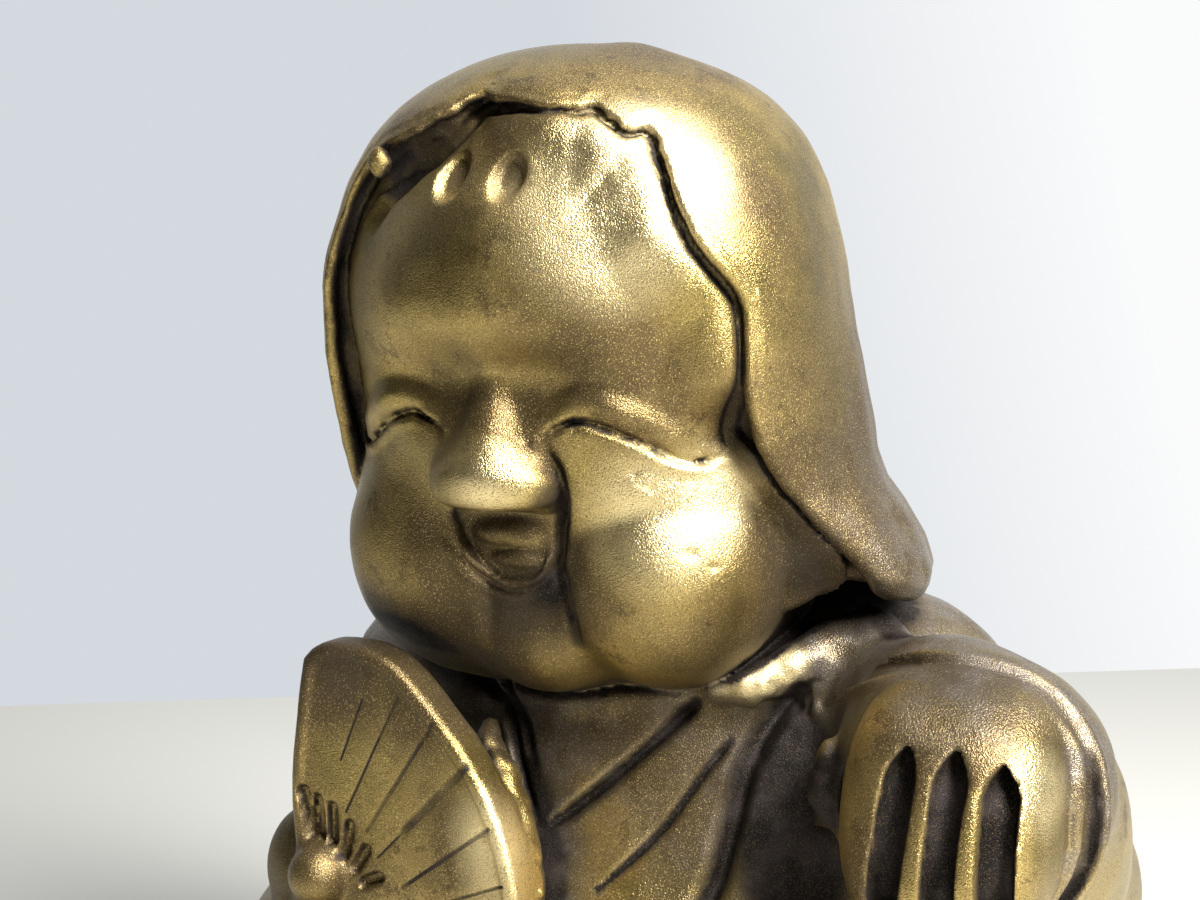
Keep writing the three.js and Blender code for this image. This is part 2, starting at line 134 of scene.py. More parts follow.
def outline_gap(u, v, outline):
    """Distance to a closed outline in a plane, less than 0 inside it."""
    gap = np.full_like(u, 1e4)
    inside = np.zeros(u.shape, bool)
    ends = np.roll(outline, -1, axis=0)
    for (au, av), (bu, bv) in zip(outline, ends):
        du, dv = bu - au, bv - av
        t = np.clip(((u - au) * du + (v - av) * dv) / (du * du + dv * dv + 1e-12), 0, 1)
        gap = np.minimum(gap, (u - au - t * du) ** 2 + (v - av - t * dv) ** 2)
        if av != bv:
            inside ^= ((av > v) != (bv > v)) & (u < (v - av) / dv * du + au)
    gap = np.sqrt(gap)
    return np.where(inside, -gap, gap)


# Random heights at the corners of a lattice that repeats for ever.
lattice = np.random.default_rng(11).uniform(-1, 1, (32, 32, 32)).astype(np.float32)


def lumps(p, size, shift=0):
    """Soft random unevenness from -1 to 1, with waves about as long as the size."""
    whole, part = [], []
    for k in range(3):
        at = p[k] / size + 7.3 * (k + 1) + shift
        low = np.floor(at)
        whole.append(low.astype(np.int32))
        f = (at - low).astype(np.float32)
        part.append(f * f * (3 - 2 * f))
    total = 0.0
    for i in (0, 1):
        for j in (0, 1):
            for k in (0, 1):
                corner = lattice[(whole[0] + i) % 32, (whole[1] + j) % 32, (whole[2] + k) % 32]
                share = (part[0] if i else 1 - part[0]) * (part[1] if j else 1 - part[1])
                total = total + corner * share * (part[2] if k else 1 - part[2])
    return total


# The head's forms. Those that stand off its middle are given on the figure's left and mirrored.
SKULL = {"centre": (0, -18, 209), "radii": (50, 50.5, 47)}
MIDFACE = {"centre": (0, -17, 182), "radii": (48, 42, 34)}
JAW = {"centre": (0, -10, 155), "radii": (49, 38, 34)}
MUZZLE = {"centre": (0, -37, 161), "radii": (15, 17.5, 17)}
CHIN = {"centre": (0, -34.5, 142), "radii": (16, 15, 16.5)}
CHEEK = {"centre": (24.5, -27, 154.5), "radii": (24.5, 27, 27)}
BROW_HOLLOW = {"centre": (13.5, -71.5, 191), "radii": (16, 14, 8)}
NOSE_ROOT_HOLLOW = {"centre": (0, -73.5, 190.5), "radii": (14, 13, 6.5)}
NOSE_BRIDGE = {"start": (0, -56.5, 190), "end": (0, -59.6, 173.4), "radius": 3.2, "end_radius": 8.0}
NOSE_WING = {"centre": (7.4, -56.8, 171.8), "radii": (6.2, 6.8, 5.8)}
TEETH = {"centre": (-0.3, -49.8, 161.2), "radii": (8.6, 3.4, 3.6)}
TONGUE = {"centre": (1.6, -49.8, 155.9), "radii": (6.4, 2.8, 2.2)}
# Lines of the face as seen from in front. Those of the left eye are mirrored to the right one.
EYE_LINE = drawn([
    (10, 181.6), (13.7, 183.1), (18.3, 184.9), (22.5, 184.2), (27.5, 181.9), (31, 179.8), (35, 177.5),
    (38.6, 176.9), (42.5, 178.2),
])
LID_LINE = drawn([(12.5, 185), (17.5, 188.2), (23, 188.4), (28.7, 186), (34.3, 182.8), (39, 180.4)])
LOWER_LID_LINE = drawn([
    (17, 183), (22.5, 182.4), (27.5, 180.2), (31, 178.1), (35, 175.9), (39, 175.3), (42.5, 176.6),
])
MOUTH_OUTLINE = drawn([
    (-12.3, 165.8), (-11, 161.9), (-9.2, 158.2), (-6.7, 154.6), (-3.2, 152), (1.3, 151.2), (6, 153),
    (8.6, 157), (9.9, 162), (10.4, 165.8),
], 3)
# The fold between the mouth and the left cheek is cut deep, with a pocket beside the nose.
CHEEK_CREASE = drawn([(14.2, 171.5), (11.8, 165), (10.9, 156), (11.7, 148.5), (12.6, 139.5)])
CREASE_POCKET = drawn([(12.4, 180), (13.4, 174), (12.8, 168), (11.4, 162)])
BROW_DOT = {"place": (6.4, 231.2), "half": (3.7, 5.4), "lean": 0.26, "depth": 2.1}
# Shallow pits of the casting: place, radius and depth.
CHEEK_PITS = [
    (38.4, 159.5, 1.9, 0.5), (42.0, 156.8, 1.1, 0.5), (28.1, 174.8, 1.0, 0.4), (18.0, 150.0, 0.9, 0.4),
    (31.0, 172.0, 1.2, 0.4), (26.0, 146.0, 0.9, 0.4),
]
# The head draws back from the hair at its upper right, and leaves a broad rough channel there.
TEMPLE_CHANNEL = [
    ((2, -59, 244.5), 2.2), ((-7, -58, 242), 3.2), ((-15, -57, 238), 4.8), ((-22.5, -56.5, 232), 5.0),
    ((-29, -57, 224), 2.6),
]


def head(p):
    x, y, z = p
    m = (np.abs(x), y, z)
    d = joined(egg(p, **SKULL), egg(p, **MIDFACE), 10)
    d = joined(d, egg(p, **JAW), 8)
    d = joined(d, egg(p, **MUZZLE), 5)
    d = cut(d, joined(egg(m, **BROW_HOLLOW), egg(p, **NOSE_ROOT_HOLLOW), 6), 10)
    d = joined(d, egg(p, **CHIN), 5)
    # The left cheek meets the mouth in a sharp fold. Everywhere else the cheeks flow into the face.
    flowing = np.maximum(eased(-x, 2, 10), eased(z, 160, 173))
    d = joined(d, egg(m, **CHEEK), 3 + 9 * flowing)
    # The lids stand proud, and the slits and folds are cut in: depth, line and width.
    d -= 1.3 * eased(stroke(m[0], z, LID_LINE, 4.2, 0.2), 0, 1)
    d -= 0.6 * eased(stroke(m[0], z, LOWER_LID_LINE, 1.9, 0.3), 0, 1)
    d += 1.1 * eased(stroke(m[0], z, EYE_LINE, 1.25, 0.15), 0, 1)
    d += 1.9 * eased(stroke(x, z, CHEEK_CREASE, 2.3, 0.15), 0, 1)
    d += 2.2 * eased(stroke(x, z, CREASE_POCKET, 2.8, 0.3), 0, 1)
    # The lids are rough where the sand has crumbled.
    d -= 0.45 * eased(stroke(m[0], z, EYE_LINE, 3.2), 0.1, 0.7) * lumps(p, 1.9, 4)
    nose = joined(bar(p, **NOSE_BRIDGE), egg(m, **NOSE_WING), 7)
    # The nose is cut nearly flat underneath.
    nose = -joined(-nose, -(167.4 - z + 0.06 * (y + 60)), 1.2)
    d = joined(d, nose, 3)
    # The lower lip is a low roll round the mouth, with a shallow channel between its two ridges.
    opening = outline_gap(x, z, MOUTH_OUTLINE)
    below = eased(z, 160, 156)
    d -= 0.7 * below * eased(opening, 1.5, 0.6)
    d += 0.5 * below * np.exp(-(((opening - 2.1) / 0.8) ** 2))
    d -= 0.6 * below * np.exp(-(((opening - 3.6) / 1.2) ** 2))
    # The mouth is open down to a sloping floor, where the teeth and the tongue lie.
    d = cut(d, np.maximum(opening, y + 50.2 + 0.1 * (z - 151)), 1.2)
    teeth = egg(p, **TEETH) - 0.3 * lumps(p, 2.2, 3)
    d = joined(d, joined(teeth, egg(p, **TONGUE), 0.5), 0.8)
    for side in (1, -1):
        du = x - side * BROW_DOT["place"][0]
        dv = z - BROW_DOT["place"][1]
        lean = BROW_DOT["lean"]
        across = (du * math.cos(lean) - dv * math.sin(lean)) / BROW_DOT["half"][0]
        upright = (du * math.sin(lean) + dv * math.cos(lean)) / BROW_DOT["half"][1]
        d += BROW_DOT["depth"] * eased(np.hypot(across, upright), 1.05, 0.6)
    for pit_x, pit_z, radius, depth in CHEEK_PITS:
        d += depth * eased(np.hypot(x - pit_x, (z - pit_z) * 1.4), radius, radius * 0.3)
    # Shallow chips of the casting skin on the forehead's left side.
    d += 0.15 * spot(p, (34, -47, 206), 11) * eased(lumps(p, 3.4, 12), 0.28, 0.40)
    channel = chain_of(p, TEMPLE_CHANNEL) - 0.5 * lumps(p, 2.6, 6)
    return cut(d, channel, 4)


# The hair: long straight hair that covers the head like a hood. It is a thick shell of the same
# casting, parted at the front, with a rolled and ragged edge round the face and a foot that flares.

# The hair is a blunt dome over an upright wall, whose foot flares at the sides and back.
HAIR_CENTRE = (0, -18, 206)
HAIR_RADIUS, HAIR_RISE, HAIR_BLUNT = 57, 52.6, 2.12
# Height, and how far the wall stands out there. It starts to between two angles from straight ahead.
HAIR_FLARE = [
    (130, 9), (138, 12), (145, 14), (152, 15.2), (158, 13.2), (165, 9.3), (170, 5.6), (176, 3.4),
    (184, 2.2), (192, 0.6), (200, -1.2), (208, -2.5), (216, -3), (224, -2.7), (232, -1.5), (240, -0.2),
    (248, 0.6), (254, 0.1), (258, 0),
]
FLARE_START_LEFT = (math.radians(60), math.radians(100))
FLARE_START_RIGHT = (math.radians(100), math.radians(145))
# On the figure's right the wall draws in towards its foot before it flares.
HAIR_TUCK = [
    (140, -6), (165, -5), (180, -3.6), (195, -1.9), (209, -1.6), (225, -2.2), (240, -0.6), (248, 0),
]
TUCK_START = (math.radians(20), math.radians(55))
# Height, and how thick the hair is there.
HAIR_THICKNESS = [(130, 5), (150, 5), (165, 4.2), (180, 3.4), (195, 2.8), (225, 2.3), (250, 2.3)]
# Places of the edge: angle from straight ahead, in degrees, and height.
HAIR_EDGE_LEFT = [
    (2.7, 246.7), (9, 246.2), (13, 245.2), (17, 245), (22, 245.2), (26, 244.6), (30, 244.9),
    (33, 243.8), (36, 241.6), (40, 240.6), (42, 241.6), (44.6, 240), (45.6, 233.3), (47, 225),
    (50, 218.6), (58.4, 209.3), (59.8, 201), (60, 193), (61.6, 185.7), (66.6, 175.8), (75.7, 165.4),
    (85, 154), (89.5, 148.3), (97, 146.5), (108, 145.5), (120, 144.5), (135, 141), (155, 137), (178, 135),
]
HAIR_EDGE_RIGHT = [
    (-1, 247), (-5.5, 248.1), (-12.7, 245.1), (-19.2, 242.1), (-25.8, 239.7), (-33.9, 237.5),
    (-40.5, 233.5), (-47, 225), (-50, 217), (-54, 208), (-56, 199), (-58, 190), (-62, 180), (-69, 168),
    (-79, 157), (-90, 149), (-105, 144), (-130, 140), (-155, 137), (-178, 135),
]
# A smooth dent in the parting, a little pit beside it, and a drop of metal at the right corner.
PARTING_DENT = {"centre": (-4.3, -52.9, 255.1), "radii": (5.5, 5.5, 5.5)}
PARTING_PIT = {"centre": (2.2, -54.2, 250.6), "radii": (1.7, 1.7, 1.7)}
CORNER_DROP = {"centre": (-25.2, -58.2, 234.2), "radii": (2.3, 2.2, 3.2)}


def read(table, at):
    """The second number of a table's rows, by the first."""
    rows = np.array(table, float)
    return np.interp(at, rows[:, 0], rows[:, 1])


def hair_growth(angle, z):
    """How far the hair's face stands out past the plain dome."""
    flare = read(HAIR_FLARE, z)
    left = eased(angle, *FLARE_START_LEFT)
    right = eased(-angle, *FLARE_START_RIGHT)
    tuck = read(HAIR_TUCK, z) * eased(-angle, *TUCK_START) * (1 - right)
    flutes = 0.5 * np.sin(angle * 23 + 0.05 * z) * np.sin(angle * 9 + 2)
    return flare * (left + right) + tuck + flutes * eased(z, 225, 150) * (left + right)


def hair_map(angle, out, rise):
    """Unrolls the dome: across and up, in millimetres along its face."""
    tilt = np.arctan2(np.maximum(rise, 0), out)
    return HAIR_RADIUS * angle * np.cos(tilt), np.where(rise > 0, HAIR_RADIUS * tilt, rise)


def edge_outline():
    """The part of the unrolled dome that the hair covers, as a closed outline."""
    far = 400
    places = []
    for degrees, height in HAIR_EDGE_LEFT[::-1] + HAIR_EDGE_RIGHT:
        up = max(height - HAIR_CENTRE[2], 0) / HAIR_RISE
        wall = (1 - up ** HAIR_BLUNT) ** (1 / HAIR_BLUNT)
        rise = up if up > 0 else height - HAIR_CENTRE[2]
        u, v = hair_map(math.radians(degrees), wall, rise)
        places.append((float(u), float(v)))
    line = drawn(places, 3)
    top = [(-far, line[-1, 1]), (-far, far), (far, far), (far, line[0, 1])]
    return np.vstack([line, top])


HAIR_OUTLINE = edge_outline()


def hair_place(p):
    """How deep a point lies under the hair's face, and how far behind its edge."""
    x, y, z = p
    angle = np.arctan2(x - HAIR_CENTRE[0], HAIR_CENTRE[1] - y)
    out = np.hypot(x - HAIR_CENTRE[0], y - HAIR_CENTRE[1])
    rise = (z - HAIR_CENTRE[2]) * HAIR_RADIUS / HAIR_RISE
    dome = (out ** HAIR_BLUNT + np.maximum(rise, 0) ** HAIR_BLUNT) ** (1 / HAIR_BLUNT)
    depth = HAIR_RADIUS + hair_growth(angle, z) - dome
    u, v = hair_map(angle, out, np.where(rise > 0, rise, z - HAIR_CENTRE[2]))
    behind = -outline_gap(u, v, HAIR_OUTLINE)
    # The edge is ragged over the forehead and only slightly uneven below.
    ragged = eased(z, 215, 240)
    behind = behind + (0.35 + 0.5 * ragged) * lumps(p, 5, 1) + (0.12 + 0.4 * ragged) * lumps(p, 1.9, 2)
    return depth, behind


def rounded(across, down, radius):
    """The outer corner of two faces, rounded."""
    outside = np.hypot(np.maximum(across, 0), np.maximum(down, 0))
    return outside + np.minimum(np.maximum(across, down), 0) - radius


def hair(depth, behind, z):
    """The shell with its rolled brim, filled down to the head behind the edge."""
    thick = read(HAIR_THICKNESS, z)
    half = thick / 2
    brim = np.minimum(half, 0.8 + 1.2 * eased(z, 190, 168))
    across = brim - behind
    down = np.abs(depth - half) - (half - brim)
    filling = np.maximum(3.2 - behind, -depth)
    return joined(rounded(across, down, brim), filling, 1.5)


def hair_web(p, depth, behind):
    """The smooth hollow metal between the left cheek and the hair's edge beside it."""
    x, y, z = p
    angle = np.arctan2(x, HAIR_CENTRE[1] - y)
    ahead = np.maximum(-behind, 0)
    sunk = 4.6 + 4 * np.minimum(ahead, 1.2) + 1.6 * np.maximum(ahead - 1.2, 0)
    sunk += 14 * eased(z, 177, 191) + 20 * eased(z, 146, 138) + 40 * eased(angle, 1.45, 1.8)
    sunk += 40 * eased(x, 25, 15)
    return np.maximum(sunk - depth, -behind - 16)


# The robe: a crossed collar, wide sleeves, a broad sash and the folded knees under the cloth, with
# the shoulders rounded under the hair. Its folds are cut into the wax before casting.

# The body: height, half its width, and where its front and back lie.
ROBE_LEVELS = [
    (6, 104, -82, 82), (28, 102, -82, 81), (44, 95, -72, 79), (58, 87, -60, 77), (77, 83, -49, 74),
    (90, 81, -42, 71), (100, 80, -38.5, 67), (112, 78, -35, 63), (125, 73, -28.5, 58),
    (136, 64, -20, 53), (145, 50, -8, 44), (151, 30, 2, 30),
]
ROBE_SQUARENESS = 2.3
ROBE_TOP = 152
SASH = {"low": 57, "high": 71, "proud": 2.2}
KNEE = {"centre": (44, -42, 30), "radii": (54, 44, 28)}
# The sleeves are round limbs: two ends, and the radius at each.
LEFT_SLEEVE = [
    ((56, 22, 113), (83, 14, 84), 27, 26.5), ((86, 8, 82), (89, -16, 104), 25.5, 25),
    ((89, -16, 104), (89.5, -31, 115.5), 25, 27.3), ((62, -8, 126), (79, -22, 127), 12, 15),
    ((89, -2, 74), (94, -20, 36), 22, 20),
]
RIGHT_SLEEVE = [
    ((-52, 22, 106), (-68, 10, 78), 24, 22), ((-69, 6, 74), (-48, -36, 72), 20, 17),
    ((-71, 2, 62), (-83, -22, 34), 18, 19),
]
# The collar's edge runs from under the chin to a thick roll beside the neck.
COLLAR_ROLL = [
    ((-14, -28.5, 123), 0.8), ((0, -29.8, 122.6), 1.6), ((17, -28, 125.3), 2.0), ((29, -26.5, 127.8), 2.4),
    ((41, -27.5, 129.6), 3.5), ((60, -8, 139), 5.6),
]
# Lines of the robe as seen from in front: places, half the width and depth of the groove.
ROBE_LINES = [
    (drawn([(30.5, 125), (27, 121.5), (20, 114), (13, 107), (6, 101), (0, 96)]), 2.6, 2.6),
    (drawn([(-33, 130), (-22, 125), (-14, 121), (-7, 109), (0, 96)]), 2.2, 2.0),
    (drawn([(-24, 131), (-15, 126), (-8, 117), (-3, 108)]), 2.0, 1.6),
    (drawn([(38, 118), (34, 112), (26, 99), (15, 87)]), 1.7, 1.5),
    (drawn([(51, 129), (45, 122), (41.5, 112), (40, 100), (38, 88), (33, 76)]), 3.8, 3.0),
    (drawn([(2, 56), (6, 40), (14, 24), (26, 12)]), 2.4, 1.8),
]


def robe(p):
    x, y, z = p
    m = (np.abs(x), y, z)
    levels = np.array(ROBE_LEVELS, float)
    half, front, back = (np.interp(z, levels[:, 0], levels[:, k]) for k in (1, 2, 3))
    middle, depth = (front + back) / 2, (back - front) / 2
    ring = np.abs(x / half) ** ROBE_SQUARENESS + np.abs((y - middle) / depth) ** ROBE_SQUARENESS
    d = (ring ** (1 / ROBE_SQUARENESS) - 1) * np.minimum(half, depth)
    d = np.maximum(d, z - ROBE_TOP)
    sash = eased(z, SASH["low"] - 1, SASH["low"] + 1) * eased(z, SASH["high"] + 1, SASH["high"] - 1)
    d -= SASH["proud"] * sash
    d = joined(d, egg(m, **KNEE), 10)
    d = joined(d, chain_of(p, COLLAR_ROLL) - 0.5 * lumps(p, 4, 14), 7)
    for start, end, radius, end_radius in LEFT_SLEEVE + RIGHT_SLEEVE:
        d = joined(d, bar(p, start, end, radius, end_radius), 8)
    in_front = eased(y, -5, -20)
    for line, width, groove in ROBE_LINES:
        d += groove * in_front * eased(stroke(x, z, line, width, 0.2), 0, 1)
    return d


# The raised left hand: a plump closed hand that beckons, its fingers parted by three gouged grooves,
# held in the round mouth of the sleeve with a double rolled cuff. The finger tops are rubbed bright, and a
# painted highlight lies on the outer finger.

HAND = {"centre": (91.5, -46, 117.5), "radii": (20.2, 20.4, 23.2), "lean": 0.24}
# Each groove's middle as seen from in front, half its length, and how far it leans.
FINGER_GROOVES = [((85.4, 114.9), 16.5, 0.09), ((95.0, 112.4), 19.2, 0.035), ((104.0, 113.4), 16, -0.01)]
# Half a groove's width, its depth, and how long it tapers at each end.
GROOVE = {"half": 3.0, "depth": 3.8, "tip": 7}
GROOVE_NOTCH = {"centre": (87.6, -63.2, 134), "radii": (1.2, 2.4, 2.0)}
THUMB = {"centre": (65.5, -41, 116), "radii": (4.5, 7, 9)}
CUFF_HOLLOW = {"centre": (91.8, -51, 112.5), "radii": (23.6, 12.5, 23)}
# The cuff has two raised lines, the lip next to the hand and the ridge round it. A dark channel lies
# between them on the outer side of the hand.
CUFF_LIP = drawn([
    (63.4, -31, 131.8), (70, -38, 135.4), (77.7, -41, 138.2), (86, -42, 140.1), (94.7, -42, 140),
    (101.8, -42, 137.8), (107, -42, 134.6), (110.4, -42, 130.8), (112.2, -41.5, 126.8),
    (112.6, -42, 122.5), (112.4, -43, 115), (110.8, -44, 107), (106.4, -44.6, 99.2),
    (100, -44.6, 94.4), (95, -42, 97),
], 2)
CUFF_RIDGE = drawn([
    (70, -33, 139), (76.2, -36, 141.3), (81.7, -38, 142.6), (88.6, -38, 142.8), (95.9, -37, 142),
    (103, -36, 139.4), (108.6, -35, 134.8), (112.4, -35, 129.5), (114.8, -36, 124), (116.2, -37, 116),
    (115, -37.8, 108), (111.4, -38.3, 100.4), (106.3, -38, 95), (100.2, -37, 91.2), (95, -33, 93),
], 2)
CUFF_CHANNEL = [
    ((113.8, -39, 126), 1.6), ((114.6, -40, 117), 1.9), ((113.6, -41, 107), 2),
    ((108.6, -41.2, 99.2), 2), ((102.4, -41.6, 94), 1.6),
]
CUFF_RADIUS = 1.15


def welt(p, line, radius):
    """A thin raised line that fades out at its first end."""
    return chain_of(p, [(place, radius * min(1, 0.1 + 0.18 * i)) for i, place in enumerate(line)])


def finger_block(p):
    """The closed hand before its fingers are parted."""
    c, r = HAND["centre"], HAND["radii"]
    leant = (p[0], p[1] - HAND["lean"] * (p[2] - c[2]), p[2])
    q = [np.abs((leant[k] - c[k]) / r[k]) for k in range(3)]
    return ((q[0] ** 3.1 + q[1] ** 2.3 + q[2] ** 2.8 + 1e-6) ** (1 / 2.6) - 1) * r[0]


def hand(p):
    x, y, z = p
    d = finger_block(p)
    under = np.maximum(-d, 0)
    for (gx, gz), half, lean in FINGER_GROOVES:
        across = np.abs((x - gx) - lean * (z - gz))
        from_end = np.clip((half - np.abs(z - gz)) / GROOVE["tip"], 0, 1)
        width = GROOVE["half"] * (1 - (1 - from_end) ** 2.3) + 0.02
        trough = (np.hypot(across / width, under / GROOVE["depth"]) - 1) * width
        # Only the front of the hand is gouged.
        on_front = y < HAND["centre"][1] - 6
        trough = np.where(on_front & (from_end > 0), trough, 9.0)
        d = cut(d, trough, 0.7)
    return cut(d, egg(p, **GROOVE_NOTCH), 0.5)


def cuff(p):
    return np.minimum(welt(p, CUFF_LIP, CUFF_RADIUS), welt(p, CUFF_RIDGE, CUFF_RADIUS))


# The fan: a half open folding fan held upright in the right hand, a flat leaf with a rounded rim, fine
# pleat lines and a row of open slots at its ribs. A rough strip of casting joins it to the chest.

FAN_HUB, FAN_FRONT, FAN_BACK = (-41, 75), -62, -52
FAN_RIM = 2.2
# Across and up from the hub.
FAN_OUTLINE = drawn([
    (-1, 60), (3, 61.8), (12, 61.8), (20, 58.8), (29, 50.5), (37, 41.5), (44, 29.5), (48, 15),
    (47.5, 2), (42, -11), (30, -19), (12, -14), (-4, -8), (-6, 15), (-6.5, 32), (-5, 48), (-3, 58),
], 3)
# Two ends as seen from in front, and the width of the line.
PLEAT_LINES = [
    ((-29.4, 125.8), (-34.9, 112.5), 0.5), ((-20.7, 127.3), (-33.8, 101.7), 0.55),
    ((-12.1, 123.2), (-28.7, 98.4), 0.8), ((-4.5, 115), (-19.4, 99.8), 1.6),
    ((-19.4, 99.8), (-26.1, 93.1), 0.5), ((0.8, 103.3), (-20, 87.8), 0.8), ((4, 92), (-20, 82), 0.6),
]
RIB_SLOTS = [
    ((-44.4, 104.7), (-42.6, 96)), ((-41.1, 103.2), (-40.2, 96)), ((-37.4, 102), (-37.4, 95)),
    ((-33.2, 98.8), (-34.6, 92.5)), ((-29.3, 94.1), (-32, 90)), ((-26.1, 88.9), (-30, 87)),
]
FAN_KNOB = {"centre": (-40.5, -61, 87.5), "radii": (6.6, 7.2, 6.8)}
FIST_TOP = {"centre": (-47, -49, 84), "radii": (14.5, 11, 15)}
FIST_FOOT = {"centre": (-45, -52, 68), "radii": (15, 13, 12)}
FAN_WEB = [
    ((-11, -41, 118), 2), ((-6, -47, 111), 3.8), ((-2, -49, 104), 4.6), ((1, -50, 95), 4.6),
    ((3, -51, 86), 4.6), ((4, -51, 76), 4.6),
]


def fan(p):
    x, y, z = p
    gap = outline_gap(x - FAN_HUB[0], z - FAN_HUB[1], FAN_OUTLINE)
    middle, half = (FAN_FRONT + FAN_BACK) / 2, (FAN_BACK - FAN_FRONT) / 2
    leaf = rounded(gap + FAN_RIM, np.abs(y - middle) - half + FAN_RIM, FAN_RIM)
    # The leaf lies a little lower than its rim.
    front = eased(y, middle, FAN_FRONT + 2)
    leaf += front * 0.9 * eased(gap, -2.6, -3.8)
    for start, end, width in PLEAT_LINES:
        leaf += front * 0.25 * eased(stroke(x, z, np.array([start, end]), width + 0.3), 0, 0.8)
    for start, end in RIB_SLOTS:
        leaf += front * 2.6 * eased(stroke(x, z, np.array([start, end]), 1.5), 0.05, 0.5)
    leaf = joined(leaf, egg(p, **FAN_KNOB), 1.5)
    leaf = joined(leaf, joined(egg(p, **FIST_TOP), egg(p, **FIST_FOOT), 6), 3)
    web = chain_of(p, FAN_WEB) - 1.2 * lumps(p, 5.5, 5) - 0.5 * lumps(p, 2.2, 6)
    return joined(leaf, web, 1.2)


# The foot: a low rounded base that the knees and sleeves rest on, ground flat underneath.

FOOT = {"half": (117.8, 89.8), "height": 9, "edge": 2.5, "squareness": 2.4}


def foot(p):
    x, y, z = p
    half, edge, square = FOOT["half"], FOOT["edge"], FOOT["squareness"]
    ring = (np.abs(x / half[0]) ** square + np.abs(y / half[1]) ** square) ** (1 / square)
    side = (ring - 1) * half[1]
    return rounded(side + edge, z - FOOT["height"] + edge, edge)


# The casting: all these forms poured as one hollow piece of brass. The sand leaves it slightly uneven,
# so its skin is made last, over everything, and is then thinned where it is smooth.

# The skin is sampled on a fine grid, whose steps are gathered into rough cells.
FINE = 0.7
COARSE = 4
LOWEST, HIGHEST = (-124.0, -96.0, -4.0), (124.0, 96.0, 264.0)
FARTHEST = 1e3
MOST_TRIANGLES = 195000
# The sand has crumbled beside the collar, and the metal is rough there: place and reach.
CRUMBLED = {"place": (51, 128), "reach": (6, 7.5)}


def figure(points):
    """Distance of points to the whole figure's skin."""
    p = tuple(np.ascontiguousarray(points[:, k]) for k in range(3))
    x, y, z = p
    d = np.full_like(x, FARTHEST)

    # A form is worked out only for the points near it.
    def add(form, close, width=None):
        if close.any():
            part = form(tuple(c[close] for c in p))
            d[close] = np.minimum(d[close], part) if width is None else joined(d[close], part, width)

    add(robe, z < 165)
    add(foot, z < 25)
    near_hair = (z > 120) & (np.hypot(x, y + 18) < 90)
    if near_hair.any():
        q = tuple(c[near_hair] for c in p)
        depth, behind = hair_place(q)
        bare = head(q)
        # The forehead is full right up to the hair, but not on the figure's right.
        full = 4.2 + 2.2 * eased(q[2], 215, 195)
        full = full * eased(behind, -17, -2) * eased(q[0], -8, 14)
        bare -= full * eased(q[2], 181, 194) * eased(q[1], -5, -20)
        # A narrow channel runs along the hair's edge.
        beside = np.exp(-(((behind + 0.3) / 1.2) ** 2)) * eased(q[2], 166, 180)
        bare += 1.3 * beside * eased(depth, 14, 9)
        bare = joined(bare, hair_web(q, depth, behind), 3.5)
        drop = egg(q, **CORNER_DROP) - 0.4 * lumps(q, 1.8, 7)
        locks = joined(hair(depth, behind, q[2]), drop, 0.8)
        for hole in (PARTING_DENT, PARTING_PIT):
            locks = cut(locks, egg(q, **hole), 0.8)
        d[near_hair] = np.minimum(d[near_hair], joined(bare, locks, 0.6))
    crumbled = (x > 36) & (x < 66) & (y < -5) & (z > 110) & (z < 146)
    if crumbled.any():
        q = tuple(c[crumbled] for c in p)
        (cx, cz), (reach_x, reach_z) = CRUMBLED["place"], CRUMBLED["reach"]
        strong = np.exp(-(((q[0] - cx) / reach_x) ** 2 + ((q[2] - cz) / reach_z) ** 2))
        d[crumbled] -= strong * (0.8 + 1.6 * lumps(q, 4, 4) + 0.9 * lumps(q, 2, 5))
    near_hand = (x > 50) & (y < 0) & (z > 75) & (z < 155)
    if near_hand.any():
        q = tuple(c[near_hand] for c in p)
        # The sleeve's mouth is hollowed, and holds the cuff's lines, the thumb and the hand.
        sleeve = cut(d[near_hand], egg(q, **CUFF_HOLLOW), 1.5)
        sleeve = joined(sleeve, cuff(q), 2.6)
        sleeve = cut(sleeve, chain_of(q, CUFF_CHANNEL) - 0.3, 1.5)
        sleeve = joined(sleeve, egg(q, **THUMB) - 1.1 * lumps(q, 3, 6), 2)
        d[near_hand] = joined(sleeve, hand(q), 0.8)
    add(fan, (x > -85) & (x < 25) & (y < -25) & (z > 40) & (z < 150), 1.0)
    # The skin is a little uneven, but not where it is ground or stands farthest out.
    free = eased(z, 9, 14) * eased(z, 258, 250)
    d += free * (0.3 * lumps(p, 13, 8) + 0.14 * lumps(p, 5, 9))
    # The ground underside stays true.
    return np.maximum(d, -z)


